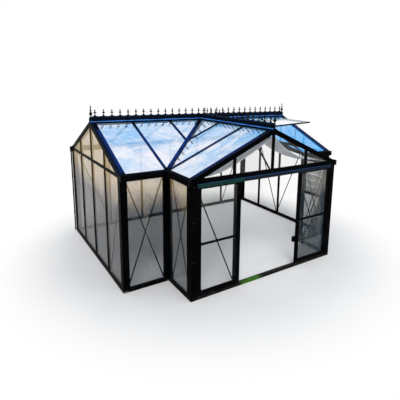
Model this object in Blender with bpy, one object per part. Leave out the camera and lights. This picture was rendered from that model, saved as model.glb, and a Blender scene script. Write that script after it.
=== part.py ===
"""A T-shaped glazed greenhouse with a crested ridge, sliding double doors and an open roof vent."""

import math

import bpy
from mathutils import Matrix, Vector
from mathutils.geometry import delaunay_2d_cdt

# The house: every plan length is a number of glazing bays.
BAY = 0.74
EAVE = 1.825
RISE = 0.645
HALF_LONG = 3 * BAY
HALF_WING = 2 * BAY
DEPTH = 4 * BAY
PORCH = BAY
APEX = EAVE + RISE

# Sections of the aluminium frame.
WALL = 0.045
ROOF = 0.040
BAR = 0.040
WEB = 0.022
CAP = 0.010
SILL = 0.065
CORNER = 0.100
INNER_STILE = 0.068
VERGE = 0.072
VERGE_RAFTER = 0.052
VALLEY_RAFTER = 0.030
TIE = 0.055
TOP_RAIL = 0.050
PANE = 0.004
REBATE = 0.010
STRIP_W = 0.020
STRIP_T = 0.003
FIT = 0.0003

# The porch front: posts, and the sliding doors in the lane between them and the fixed panels.
POST = 0.100
BEAM = 0.070
JAMB = 0.045
JAMB_IN = 0.090
PANEL_THICK = 0.030
LANE = 0.050
TRACK_TALL = 0.055
TRACK_PLATE = 0.005
TRACK_PROUD = 0.012
GUIDE_HIGH = 0.045
DOOR_CLEAR = 0.006
DOOR_THICK = 0.034
DOOR_END_GAP = 0.010
DOOR_LEAD = 0.130
DOOR_STILE = 0.062
DOOR_BAR = 0.024
DOOR_BAR_AT = 0.466
RUNNER_IN = 0.090
RUNNER_LONG = 0.060
RUNNER_THICK = 0.014
LEFT_LOCK_AT = 0.450
RIGHT_LOCK_AT = 0.268
LOCK_PAST = 0.030
LOCK_SEAT = 0.034
LOCK_DEEP = 0.045
LOCK_HIGH = 0.090

# The roof vent, held level by its stay.
VENT_LONG = 0.870
VENT_FRAME = 0.035
VENT_TILT = math.radians(2.5)
VENT_THICK = 0.024
VENT_SIDE = 0.010
STAY_THICK = 0.008

# The louvre in the porch's right side.
LOUVRE_TALL = 0.710
LOUVRE_RIM = 0.018
BLADES = 5
BLADE_TILT = math.radians(35.0)

# Gutters, ridge caps and the cast cresting.
GUTTER_OUT = 0.046
GUTTER_TALL = 0.088
GUTTER_WALL = 0.004
PIPE = 0.0135
CAP_REACH = 0.040
CAP_THICK = 0.006
RIDGE_LIFT = 0.070
UPSTAND = 0.030
VALLEY_REACH = 0.028
STRUT_WIDE = 0.030
STRUT_THICK = 0.014
SPIKES_PER_BAY = 5
FIRST_SPIKE = 0.100
CREST_THICK = 0.010
SPIKE_HIGH = 0.135
FINIAL_HIGH = 0.215
FINIAL_WIDE = 0.056
FINIAL_IN = 0.030
FRONT_FINIAL_IN = 0.006

# Shade cloth slung in the porch roof: distances from under the ridge, and drops below the slope.
CLOTH_THICK = 0.008
LEFT_CLOTH_LONG = 0.660
RIGHT_CLOTH_LONG = 0.420
LEFT_HANG = [(0.037, 0.132), (0.269, 0.147), (0.841, 0.150), (1.270, 0.072)]
RIGHT_HANG = [(0.044, 0.110), (0.281, 0.219), (0.700, 0.243), (1.258, 0.090)]

PITCH = math.atan2(RISE, HALF_WING)
SLOPE = math.hypot(RISE, HALF_WING)
RUN = HALF_WING / SLOPE
CLIMB = RISE / SLOPE
RIDGE_TOP = APEX + RIDGE_LIFT
WALL_TOP = EAVE - ROOF / math.cos(PITCH) - 0.001
LOUVRE_LOW = WALL_TOP - LOUVRE_TALL
FRONT = -PORCH
PANEL_Y = FRONT + LANE
BEAM_LOW = EAVE - BEAM
TRACK_LOW = BEAM_LOW - TRACK_TALL
GUTTER_HIGH = EAVE + 0.003
GUTTER_LOW = GUTTER_HIGH - GUTTER_TALL
REAR = DEPTH
MID_Y = DEPTH / 2
FRONT_REACH = max(TRACK_PROUD, FINIAL_WIDE / 2 - FRONT_FINIAL_IN)
SHIFT_Y = -(FRONT - FRONT_REACH + REAR + GUTTER_OUT) / 2

COLOURS = {
    "frame_paint": ((0.012, 0.018, 0.022, 1.0), 0.35, 0.6),
    "glass": ((0.62, 0.78, 0.88, 1.0), 0.05, 0.0),
    "door_glass": ((0.70, 0.76, 0.74, 1.0), 0.05, 0.0),
    "cast_crest": ((0.010, 0.012, 0.014, 1.0), 0.45, 0.5),
    "lock_plastic": ((0.010, 0.010, 0.011, 1.0), 0.5, 0.0),
    "shade_fabric": ((0.66, 0.68, 0.72, 1.0), 0.9, 0.0),
    "gutter_paint": ((0.014, 0.020, 0.026, 1.0), 0.35, 0.6),
    "stay_metal": ((0.30, 0.34, 0.38, 1.0), 0.4, 0.9),
}


def material(name, slot):
    colour, rough, metal = COLOURS[slot]
    made = bpy.data.materials.new(name)
    made.use_nodes = True
    made.diffuse_color = colour
    shader = made.node_tree.nodes["Principled BSDF"]
    shader.inputs["Base Color"].default_value = colour
    shader.inputs["Roughness"].default_value = rough
    shader.inputs["Metallic"].default_value = metal
    return made


def add(name, points, faces, slot, matrix=None, smooth=False):
    """A named object whose mesh is given in the building's frame, or in the frame of matrix."""
    mesh = bpy.data.meshes.new(name)
    mesh.from_pydata([tuple(p) for p in points], [], faces)
    mesh.validate()
    if smooth:
        mesh.shade_smooth()
    made = bpy.data.objects.new(name, mesh)
    bpy.context.collection.objects.link(made)
    shift = Matrix.Translation((0, SHIFT_Y, 0))
    made.matrix_world = shift @ matrix if matrix else shift
    mesh.materials.append(material(name, slot))
    return made


def plane(origin, up, out):
    """A frame whose v axis climbs the wall or slope and whose n axis faces outdoors."""
    up = Vector(up).normalized()
    out = Vector(out).normalized()
    along = up.cross(out)
    matrix = Matrix((along, up, out)).transposed().to_4x4()
    matrix.translation = Vector(origin)
    return matrix


def clip(polygon, edge, inset=0.0):
    """The part of a convex polygon on the inner side of an edge (a, b, c), where a*u + b*v <= c."""
    a, b, c = edge
    limit = c - inset
    kept = []
    for i, here in enumerate(polygon):
        there = polygon[(i + 1) % len(polygon)]
        d_here = a * here[0] + b * here[1] - limit
        d_there = a * there[0] + b * there[1] - limit
        if d_here <= 0:
            kept.append(here)
        if (d_here < 0 < d_there) or (d_there < 0 < d_here):
            t = d_here / (d_here - d_there)
            kept.append((here[0] + t * (there[0] - here[0]), here[1] + t * (there[1] - here[1])))
    return kept


def outline(edges, insets):
    """The convex polygon inside all edges, each moved in by its inset."""
    polygon = [(-9.0, -9.0), (9.0, -9.0), (9.0, 9.0), (-9.0, 9.0)]
    for edge, inset in zip(edges, insets):
        polygon = clip(polygon, edge, inset)
    return polygon


def cells(polygon, bars, width):
    """The panes that bars of this width leave in a polygon; a bar is an edge along its centre line."""
    found = [polygon]
    for a, b, c in bars:
        split = []
        for cell in found:
            for side in ((a, b, c - width / 2), (-a, -b, -c - width / 2)):
                part = clip(cell, side)
                if len(part) > 2 and area(part) > 2e-4:
                    split.append(part)
        found = split
    return found


def area(polygon):
    total = 0.0
    for i, (x, y) in enumerate(polygon):
        nx, ny = polygon[(i + 1) % len(polygon)]
        total += x * ny - nx * y
    return abs(total) / 2


def centre(polygon):
    return (
        sum(p[0] for p in polygon) / len(polygon),
        sum(p[1] for p in polygon) / len(polygon),
    )


def inside(loop, point):
    """Whether a point lies in a loop, by the count of sides to its right."""
    found = False
    for i, (x, y) in enumerate(loop):
        nx, ny = loop[(i + 1) % len(loop)]
        if (y > point[1]) != (ny > point[1]) and point[0] < x + (point[1] - y) / (ny - y) * (nx - x):
            found = not found
    return found


def line(p, q):
    """The edge through two points, with its inner side on the left of the way from p to q."""
    dx = q[0] - p[0]
    dy = q[1] - p[1]
    long = math.hypot(dx, dy)
    a = dy / long
    b = -dx / long
    return (a, b, a * p[0] + b * p[1])


class Shell:
    """Collects the faces of one closed body that is made of flat levels and walls between them."""

    def __init__(self):
        self.points = []
        self.faces = []

    def level(self, loops, n, up):
        """A flat face at depth n, bounded by the first loop and holed by the others."""
        flat = [point for loop in loops for point in loop]
        ties = []
        for loop in loops:
            start = len(ties)
            count = len(loop)
            ties.extend((start + i, start + (i + 1) % count) for i in range(count))
        corners, _, triangles, sources, _, _ = delaunay_2d_cdt(
            [Vector(point) for point in flat], ties, [], 0, 1e-7
        )
        start = len(self.points)
        self.points.extend((*flat[found[0]], n) for found in sources)
        for i, j, k in triangles:
            middle = (corners[i] + corners[j] + corners[k]) / 3
            if sum(inside(loop, middle) for loop in loops) % 2:
                face = (start + i, start + j, start + k)
                self.faces.append(face if up else face[::-1])

    def wall(self, loop, low, high, outer):
        """The faces around a loop between two depths; outer loops face away from their middle."""
        start = len(self.points)
        count = len(loop)
        signed = sum(
            loop[i][0] * loop[(i + 1) % count][1] - loop[(i + 1) % count][0] * loop[i][1]
            for i in range(count)
        )
        self.points.extend((u, v, low) for u, v in loop)
        self.points.extend((u, v, high) for u, v in loop)
        for i in range(count):
            j = (i + 1) % count
            face = (start + i, start + j, start + count + j, start + count + i)
            self.faces.append(face if (signed > 0) == outer else face[::-1])

    def merged(self):
        """Points and faces with every shared corner made one."""
        index = {}
        unique = []
        order = []
        for point in self.points:
            key = tuple(round(value * 1e6) for value in point)
            if key not in index:
                index[key] = len(unique)
                unique.append(point)
            order.append(index[key])
        return unique, [[order[i] for i in face] for face in self.faces]


def slab(name, loop, low, high, slot, matrix, holes=()):
    """A flat plate with any outline, and holes right through it."""
    shell = Shell()
    shell.level([loop, *holes], high, True)
    shell.level([loop, *holes], low, False)
    shell.wall(loop, low, high, True)
    for hole in holes:
        shell.wall(hole, low, high, False)
    points, faces = shell.merged()
    return add(name, points, faces, slot, matrix)


def glazed(
    name, matrix, edges, borders, bars, depth, unglazed=(), sheet_cut=None, sheet_slot="glass", bar=BAR
):
    """A frame with T-section bars and a groove, and the one glass sheet seated in that groove."""
    body = outline(edges, [0.0] * len(edges))
    inner = outline(edges, borders)
    groove = outline(edges, [border - REBATE - FIT for border in borders])
    sheet = outline(edges, [border - REBATE for border in borders])
    if sheet_cut:
        groove = clip(groove, sheet_cut, -FIT)
        sheet = clip(sheet, sheet_cut)
    outer_cells = cells(inner, bars, bar)
    inner_cells = cells(inner, bars, WEB)

    def is_open(cell):
        u, v = centre(cell)
        return any(low[0] < u < high[0] and low[1] < v < high[1] for low, high in unglazed)

    through = [cell for cell in outer_cells if is_open(cell)]
    outer = [cell for cell in outer_cells if not is_open(cell)]
    back = [cell for cell in inner_cells if not is_open(cell)]
    top = -CAP
    under = -CAP - PANE - 2 * FIT
    shell = Shell()
    shell.level([body, *outer, *through], 0.0, True)
    shell.level([body, *back, *through], -depth, False)
    shell.level([groove, *outer], top, False)
    shell.level([groove, *back], under, True)
    shell.wall(body, -depth, 0.0, True)
    shell.wall(groove, under, top, False)
    for cell in outer:
        shell.wall(cell, top, 0.0, False)
    for cell in back:
        shell.wall(cell, -depth, under, False)
    for cell in through:
        shell.wall(cell, -depth, 0.0, False)
    points, faces = shell.merged()
    frame = add(name, points, faces, "frame_paint", matrix)
    slab(name + "_glass", sheet, under + FIT, top - FIT, sheet_slot, matrix)
    return frame


def join(target, tools):
    """Fuses the tool solids into the target, which stays one closed body."""
    for tool in tools:
        fuse = target.modifiers.new("fuse", "BOOLEAN")
        fuse.operation = "UNION"
        fuse.solver = "EXACT"
        fuse.object = tool
        tool.hide_render = True
        tool.display_type = "WIRE"
    bpy.context.view_layer.update()
    graph = bpy.context.evaluated_depsgraph_get()
    fused = bpy.data.meshes.new_from_object(target.evaluated_get(graph))
    target.modifiers.clear()
    target.data = fused
    for tool in tools:
        bpy.data.objects.remove(tool)


def braces(frame, matrix, depth, strips):
    """Flat bracing strips, each from one (u, v) point to another, fixed on a frame's inner face."""
    tools = []
    for i, (p, q) in enumerate(strips):
        low = -depth - STRIP_T * (1 + i % 2)
        side = line(p, q)
        half = STRIP_W / 2
        loop = [
            (p[0] + side[0] * half, p[1] + side[1] * half),
            (q[0] + side[0] * half, q[1] + side[1] * half),
            (q[0] - side[0] * half, q[1] - side[1] * half),
            (p[0] - side[0] * half, p[1] - side[1] * half),
        ]
        tools.append(slab("strip", loop, low, -depth + 0.002, "frame_paint", matrix))
    join(frame, tools)


def sweep(name, profile, path, outs, slot):
    """A section (out, z) carried along a level path; outs holds the way outdoors at each point."""
    points = []
    for (x, y), (ox, oy) in zip(path, outs):
        points.extend((x + ox * out, y + oy * out, z) for out, z in profile)
    count = len(profile)
    faces = [tuple(range(count)), tuple(range(len(points) - 1, len(points) - count - 1, -1))]
    for i in range(len(path) - 1):
        base = i * count
        for j in range(count):
            k = (j + 1) % count
            faces.append((base + j, base + count + j, base + count + k, base + k))
    made = add(name, points, faces, slot)
    face_out(made)
    return made


def face_out(made):
    """Turns every face of a closed mesh outwards."""
    volume = 0.0
    points = [v.co for v in made.data.vertices]
    for polygon in made.data.polygons:
        corners = [points[i] for i in polygon.vertices]
        for i in range(1, len(corners) - 1):
            volume += corners[0].dot(corners[i].cross(corners[i + 1]))
    if volume < 0:
        made.data.flip_normals()


def box(name, low, high, slot, matrix=None):
    loop = [(low[0], low[1]), (high[0], low[1]), (high[0], high[1]), (low[0], high[1])]
    return slab(name, loop, low[2], high[2], slot, matrix or Matrix.Identity(4))


def rod(name, start, end, radius, slot, sides=12):
    """A round bar between two points of the building's frame."""
    way = Vector(end) - Vector(start)
    turn = way.to_track_quat("Z", "Y").to_matrix().to_4x4()
    turn.translation = Vector(start)
    loop = [
        (radius * math.cos(2 * math.pi * i / sides), radius * math.sin(2 * math.pi * i / sides))
        for i in range(sides)
    ]
    return slab(name, loop, 0.0, way.length, slot, turn)


def turned(name, profile, at, slot, sides=12):
    """A turned piece: (radius, height) pairs spun about an upright axis."""
    points = []
    for radius, height in profile:
        for i in range(sides):
            angle = 2 * math.pi * i / sides
            points.append((radius * math.cos(angle), radius * math.sin(angle), height))
    faces = [tuple(range(sides))[::-1]]
    for ring in range(len(profile) - 1):
        for i in range(sides):
            j = (i + 1) % sides
            base = ring * sides
            faces.append((base + i, base + j, base + sides + j, base + sides + i))
    top = (len(profile) - 1) * sides
    faces.append(tuple(range(top, top + sides)))
    return add(name, points, faces, slot, Matrix.Translation(at), smooth=True)


def level_edges(low, high, bottom, top):
    """The four edges of an upright panel."""
    return [(0, -1, -bottom), (1, 0, high), (0, 1, top), (-1, 0, -low)]


def upright(c):
    return (1, 0, c)


def rail(c):
    return (0, 1, c)


def walls():
    """The seven outer walls of the house and porch, and the panels either side of the doorway."""
    slope_in = (math.sin(PITCH), math.cos(PITCH))
    end_edges = [
        (0, -1, 0.0),
        (1, 0, HALF_WING),
        (slope_in[0], slope_in[1], slope_in[1] * APEX),
        (-slope_in[0], slope_in[1], slope_in[1] * APEX),
        (-1, 0, HALF_WING),
    ]
    end_borders = [SILL, CORNER, VERGE, VERGE, CORNER]
    end_bars = [upright(-BAY), upright(0.0), upright(BAY), rail(EAVE - TIE / 2)]
    left = plane((-HALF_LONG, MID_Y, 0), (0, 0, 1), (-1, 0, 0))
    right = plane((HALF_LONG, MID_Y, 0), (0, 0, 1), (1, 0, 0))
    head = EAVE - TIE
    frame = glazed("left_wall", left, end_edges, end_borders, end_bars, WALL)
    corner = HALF_WING - CORNER + REBATE
    braces(frame, left, WALL, [((-corner, head), (-BAY, SILL)), ((corner, head), (BAY, SILL))])
    frame = glazed("right_wall", right, end_edges, end_borders, end_bars, WALL)
    braces(frame, right, WALL, [((-BAY, head), (0.0, SILL)), ((BAY, head), (0.0, SILL))])

    rear = plane((0, REAR, 0), (0, 0, 1), (0, 1, 0))
    half = HALF_LONG - WALL - FIT
    stile = CORNER - WALL
    edges = level_edges(-half, half, 0.0, WALL_TOP)
    bars = [upright(i * BAY) for i in range(-2, 3)]
    frame = glazed("rear_wall", rear, edges, [SILL, stile, TOP_RAIL, stile], bars, WALL)
    foot = SILL - 0.01
    top = WALL_TOP - TOP_RAIL + 0.01
    corner = half - stile + REBATE
    braces(frame, rear, WALL, [((-corner, top), (-2 * BAY, foot)), ((corner, top), (2 * BAY, foot))])

    for side, name in ((-1, "left"), (1, "right")):
        wall = plane((0, 0, 0), (0, 0, 1), (0, -1, 0))
        near = HALF_WING - WALL
        ends = sorted((side * near, side * half))
        edges = level_edges(ends[0], ends[1], 0.0, WALL_TOP)
        inner = WALL + INNER_STILE
        borders = [SILL, stile, TOP_RAIL, inner] if side > 0 else [SILL, inner, TOP_RAIL, stile]
        frame = glazed("front_" + name + "_wall", wall, edges, borders, [], WALL)
        low = side * (HALF_WING + INNER_STILE - 0.01)
        high = side * (half - stile + 0.01)
        braces(frame, wall, WALL, [((low, foot), (high, top)), ((low, top), (high, foot))])

        out = (side, 0, 0)
        wall = plane((side * HALF_WING, 0, 0), (0, 0, 1), out)
        edge_front = PORCH - POST - FIT
        ends = sorted((side * -edge_front, side * -FIT))
        edges = level_edges(ends[0], ends[1], 0.0, WALL_TOP)
        inner = INNER_STILE
        borders = [SILL, WEB, TOP_RAIL, inner] if side < 0 else [SILL, inner, TOP_RAIL, WEB]
        low = side * -(inner - 0.01)
        high = side * -(edge_front - WEB + 0.01)
        if side < 0:
            frame = glazed("porch_left_wall", wall, edges, borders, [], WALL)
            braces(frame, wall, WALL, [((low, foot), (high, top)), ((low, top), (high, foot))])
        else:
            cut = (0, 1, LOUVRE_LOW - BAR / 2 + REBATE)
            gap = ((-9, LOUVRE_LOW), (9, 9))
            frame = glazed("porch_right_wall", wall, edges, borders, [rail(LOUVRE_LOW)], WALL, [gap], cut)
            rail_low = LOUVRE_LOW - 0.01
            braces(frame, wall, WALL, [((low, foot), (high, rail_low)), ((low, rail_low), (high, foot))])
            louvre(wall, ends, borders)

        wall = plane((0, PANEL_Y, 0), (0, 0, 1), (0, -1, 0))
        outer = HALF_WING - POST - FIT
        ends = sorted((side * outer, side * (BAY - JAMB_IN)))
        edges = level_edges(ends[0], ends[1], 0.0, BEAM_LOW - FIT)
        borders = [SILL, BAR, TOP_RAIL, JAMB] if side > 0 else [SILL, JAMB, TOP_RAIL, BAR]
        frame = glazed("front_" + name + "_panel", wall, edges, borders, [], PANEL_THICK)
        head = (side * (outer - BAR / 2), BEAM_LOW - TOP_RAIL + 0.01)
        braces(frame, wall, PANEL_THICK, [(head, (side * (BAY - JAMB_IN + JAMB / 2), foot))])

        corner = sorted((side * (HALF_WING - POST), side * HALF_WING))
        low = (corner[0], FRONT, 0.0)
        high = (corner[1], FRONT + POST, BEAM_LOW - FIT)
        box("porch_" + name + "_post", low, high, "frame_paint")

    gable_edges = [
        (0, -1, -BEAM_LOW),
        (1, 0, HALF_WING),
        (slope_in[0], slope_in[1], slope_in[1] * APEX),
        (-slope_in[0], slope_in[1], slope_in[1] * APEX),
        (-1, 0, HALF_WING),
    ]
    gable = plane((0, FRONT, 0), (0, 0, 1), (0, -1, 0))
    bars = [upright(-BAY), upright(0.0), upright(BAY)]
    glazed("front_gable", gable, gable_edges, [BEAM, BAR, VERGE, VERGE, BAR], bars, WALL)


def louvre(wall, ends, borders):
    """Slatted glass blades in a thin frame, set in the open upper part of the porch's right side."""
    low = (ends[0] + borders[3] + FIT, LOUVRE_LOW + BAR / 2 + FIT)
    high = (ends[1] - borders[1] - FIT, WALL_TOP - TOP_RAIL - FIT)
    rim = LOUVRE_RIM
    ring = [low, (high[0], low[1]), high, (low[0], high[1])]
    hole = [
        (low[0] + rim, low[1] + rim),
        (high[0] - rim, low[1] + rim),
        (high[0] - rim, high[1] - rim),
        (low[0] + rim, high[1] - rim),
    ]
    body = slab("louvre", ring, -WALL, -0.004, "frame_paint", wall, [hole])
    pitch = (high[1] - low[1] - 2 * rim) / BLADES
    tools = []
    for i in range(BLADES):
        middle = low[1] + rim + pitch * (i + 0.5)
        turn = Matrix.Translation((0, middle, -0.024)) @ Matrix.Rotation(BLADE_TILT, 4, "X")
        half = pitch * 0.42
        tools.append(
            box(
                "blade",
                (low[0] + rim / 2, -half, -PANE / 2),
                (high[0] - rim / 2, half, PANE / 2),
                "glass",
                wall @ turn,
            )
        )
    join(body, tools)


def roof():
    """Five glazed slopes that meet at two ridges and two valleys."""
    run = RUN
    rise = CLIMB
    eave = (0, -1, 0.012)
    ridge = (0, 1, SLOPE - ROOF * math.tan(PITCH) - 0.002)
    verge = VERGE_RAFTER
    edge_rail = BAR + 0.005
    gap = 0.002

    rear = plane((0, REAR, EAVE), (0, -run, rise), (0, rise, run))
    half = HALF_LONG - WALL - FIT
    edges = [eave, (1, 0, half), ridge, (-1, 0, half)]
    bars = [upright(i * BAY) for i in range(-2, 3)]
    glazed("rear_roof", rear, edges, [edge_rail, verge, edge_rail, verge], bars, ROOF)

    front = plane((0, 0, EAVE), (0, run, rise), (0, -rise, run))
    valley = line((-HALF_WING, 0.0), (0.0, SLOPE))
    valley = (valley[0], valley[1], valley[2] - gap)
    side = (-1, 0, half)
    edges = [eave, ridge, side, valley]
    borders = [edge_rail, edge_rail, verge, VALLEY_RAFTER]
    frame = glazed("front_left_roof", front, edges, borders, [upright(-2 * BAY), upright(-BAY)], ROOF)
    braces(frame, front, ROOF, [((-half + 0.02, SLOPE - 0.03), (-HALF_WING, 0.03))])
    valley = (-valley[0], valley[1], valley[2])
    edges = [eave, ridge, (1, 0, half), valley]
    frame = glazed("front_right_roof", front, edges, borders, [upright(2 * BAY), upright(BAY)], ROOF)
    braces(frame, front, ROOF, [((half - 0.02, SLOPE - 0.03), (HALF_WING, 0.03))])

    reach = PORCH - WALL - FIT
    left = plane((-HALF_WING, 0, EAVE), (run, 0, rise), (-rise, 0, run))
    valley = line((0.0, 0.0), (-HALF_WING, SLOPE))
    valley = (-valley[0], -valley[1], -valley[2] - gap)
    crossing = MID_Y - CAP_REACH - FIT
    edges = [eave, ridge, (1, 0, reach), valley, (-1, 0, crossing)]
    borders.append(BAR)
    frame = glazed("porch_left_roof", left, edges, borders, [upright(0.0), upright(-BAY)], ROOF)
    braces(frame, left, ROOF, [((reach - 0.02, SLOPE - 0.03), (0.0, 0.03))])

    right = plane((HALF_WING, 0, EAVE), (-run, 0, rise), (rise, 0, run))
    valley = line((0.0, 0.0), (HALF_WING, SLOPE))
    valley = (valley[0], valley[1], valley[2] - gap)
    porch_right_roof(right, [eave, ridge, (-1, 0, reach), valley, (1, 0, crossing)], borders)


def porch_right_roof(matrix, edges, borders):
    """The slope with the vent: its front bay is open above a cross rail."""
    body = outline(edges, [0.0] * len(edges))
    inner = outline(edges, borders)
    bars = [upright(0.0), upright(BAY)]
    sill = rail(SLOPE - VENT_LONG)
    groove = outline(edges, [border - REBATE - FIT for border in borders])
    sheet = outline(edges, [border - REBATE for border in borders])
    step = (-BAR / 2 + REBATE, SLOPE - VENT_LONG - BAR / 2 + REBATE)
    groove = stepped(groove, (step[0] - FIT, step[1] + FIT))
    sheet = stepped(sheet, step)
    outer = []
    through = []
    for cell in cells(inner, bars, BAR):
        if centre(cell)[0] < 0:
            low, high = cells(cell, [sill], BAR)
            outer.append(low)
            through.append(high)
        else:
            outer.append(cell)
    back = []
    for cell in cells(inner, bars, WEB):
        if centre(cell)[0] < 0:
            back.append(cells(cell, [sill], WEB)[0])
        else:
            back.append(cell)
    top = -CAP
    under = -CAP - PANE - 2 * FIT
    shell = Shell()
    shell.level([body, *outer, *through], 0.0, True)
    shell.level([body, *back, *through], -ROOF, False)
    shell.level([groove, *outer], top, False)
    shell.level([groove, *back], under, True)
    shell.wall(body, -ROOF, 0.0, True)
    shell.wall(groove, under, top, False)
    for cell in outer:
        shell.wall(cell, top, 0.0, False)
    for cell in back:
        shell.wall(cell, -ROOF, under, False)
    for cell in through:
        shell.wall(cell, -ROOF, 0.0, False)
    points, faces = shell.merged()
    add("porch_right_roof", points, faces, "frame_paint", matrix)
    slab("porch_right_roof_glass", sheet, under + FIT, top - FIT, "glass", matrix)


def stepped(polygon, step):
    """A sheet's outline with its corner above and before the step left out."""
    u, v = step
    below = clip(polygon, (0, 1, v))
    beside = clip(polygon, (-1, 0, -u))
    low_left = min(below, key=lambda p: (round(p[1], 6), p[0]))
    low_right = min(below, key=lambda p: (round(p[1], 6), -p[0]))
    left_top = (low_left[0], v)
    top = max(p[1] for p in beside)
    top_left = (u, top)
    top_right = max(beside, key=lambda p: (round(p[1], 6), p[0]))
    return [low_left, low_right, top_right, top_left, (u, v), left_top]


def ridge_caps():
    """Inverted V caps with an upstand along both ridges, and V flashings in the valleys."""
    slope = RISE / HALF_WING
    lift = FIT / math.cos(PITCH) + 0.0005
    thick = CAP_THICK / math.cos(PITCH)
    drop = CAP_REACH * slope
    half = UPSTAND / 2
    section = [
        (-CAP_REACH, APEX - drop + lift),
        (0.0, APEX + lift),
        (CAP_REACH, APEX - drop + lift),
        (CAP_REACH, APEX - drop + lift + thick),
        (half, APEX + lift + thick - half * slope),
        (half, RIDGE_TOP),
        (-half, RIDGE_TOP),
        (-half, APEX + lift + thick - half * slope),
        (-CAP_REACH, APEX - drop + lift + thick),
    ]
    ends = [(-HALF_LONG, MID_Y), (HALF_LONG, MID_Y)]
    sweep("main_ridge", section, ends, [(0, 1), (0, 1)], "frame_paint")
    ends = [(0, FRONT), (0, MID_Y - CAP_REACH - FIT)]
    sweep("porch_ridge", section, ends, [(1, 0), (1, 0)], "frame_paint")

    for side, name in ((-1, "left_valley"), (1, "right_valley")):
        way = Vector((-side * HALF_WING, HALF_WING, RISE)).normalized()
        long = Vector((HALF_WING, HALF_WING, RISE)).length
        out_main = Vector((0, -RISE, HALF_WING)).normalized()
        out_porch = Vector((side * RISE, 0, HALF_WING)).normalized()
        reach_main = out_main.cross(way)
        reach_main = reach_main if reach_main.x * side > 0 else -reach_main
        reach_porch = out_porch.cross(way)
        reach_porch = reach_porch if reach_porch.y < 0 else -reach_porch
        foot = Vector((side * HALF_WING, 0, EAVE))
        up = (out_main + out_porch).normalized()
        lean = up.dot(out_main)
        low = FIT + 0.0005
        high = low + STRIP_T
        section = [
            reach_main * VALLEY_REACH + out_main * high,
            up * (high / lean),
            reach_porch * VALLEY_REACH + out_porch * high,
            reach_porch * VALLEY_REACH + out_porch * low,
            up * (low / lean),
            reach_main * VALLEY_REACH + out_main * low,
        ]
        stop = long * (1 - (CAP_REACH + 1.6 * VALLEY_REACH) / HALF_WING)
        points = []
        for s in (0.05, stop):
            points.extend(foot + way * s + corner for corner in section)
        faces = [tuple(range(6)), tuple(range(11, 5, -1))]
        faces.extend((j, 6 + j, 6 + (j + 1) % 6, (j + 1) % 6) for j in range(6))
        made = add(name, points, faces, "frame_paint")
        face_out(made)


def ridge_strut():
    """The flat strut that stays the porch gable, from the middle of its beam back up to the ridge."""
    half = STRUT_THICK / 2
    foot = FRONT + WALL + FIT
    low = BEAM_LOW + FIT
    under = APEX - ROOF / math.cos(PITCH) - half * RISE / HALF_WING - FIT
    cut = STRUT_WIDE * math.hypot(PORCH, RISE) / RISE
    heel = STRUT_WIDE * math.hypot(PORCH, RISE) / PORCH
    loop = [(foot, low), (-cut / 2, under), (-1.5 * cut, under), (foot, low + heel)]
    matrix = plane((half, 0, 0), (0, 0, 1), (1, 0, 0))
    slab("ridge_strut", loop, -STRUT_THICK, 0.0, "frame_paint", matrix)


def gutters():
    """Half-open channels along every eave; each front one turns the inner corner to the porch."""
    wall = GUTTER_WALL
    seat = FIT
    shoulder = GUTTER_TALL / 4
    profile = [
        (seat, GUTTER_LOW),
        (GUTTER_OUT - 0.008, GUTTER_LOW),
        (GUTTER_OUT - 0.002, GUTTER_LOW + shoulder / 3),
        (GUTTER_OUT, GUTTER_LOW + shoulder),
        (GUTTER_OUT, GUTTER_HIGH),
        (GUTTER_OUT - wall, GUTTER_HIGH),
        (GUTTER_OUT - wall, GUTTER_LOW + shoulder),
        (GUTTER_OUT - 0.008 - wall / 2, GUTTER_LOW + wall),
        (seat + wall, GUTTER_LOW + wall),
        (seat + wall, WALL_TOP - 0.006),
        (seat, WALL_TOP - 0.006),
    ]
    end = HALF_LONG + 2 * PIPE
    sweep("rear_gutter", profile, [(-end, REAR), (end, REAR)], [(0, 1), (0, 1)], "gutter_paint")
    for side, name in ((-1, "left_gutter"), (1, "right_gutter")):
        path = [(side * HALF_LONG, 0), (side * HALF_WING, 0), (side * HALF_WING, FRONT)]
        outs = [(0, -1), (side, -1), (side, 0)]
        sweep(name, profile, path, outs, "gutter_paint")
    at_x = -HALF_LONG - FIT - PIPE
    at_y = REAR + GUTTER_OUT / 2
    rod("downpipe", (at_x, at_y, SILL / 3), (at_x, at_y, GUTTER_LOW - FIT), PIPE, "gutter_paint", sides=16)


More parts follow.
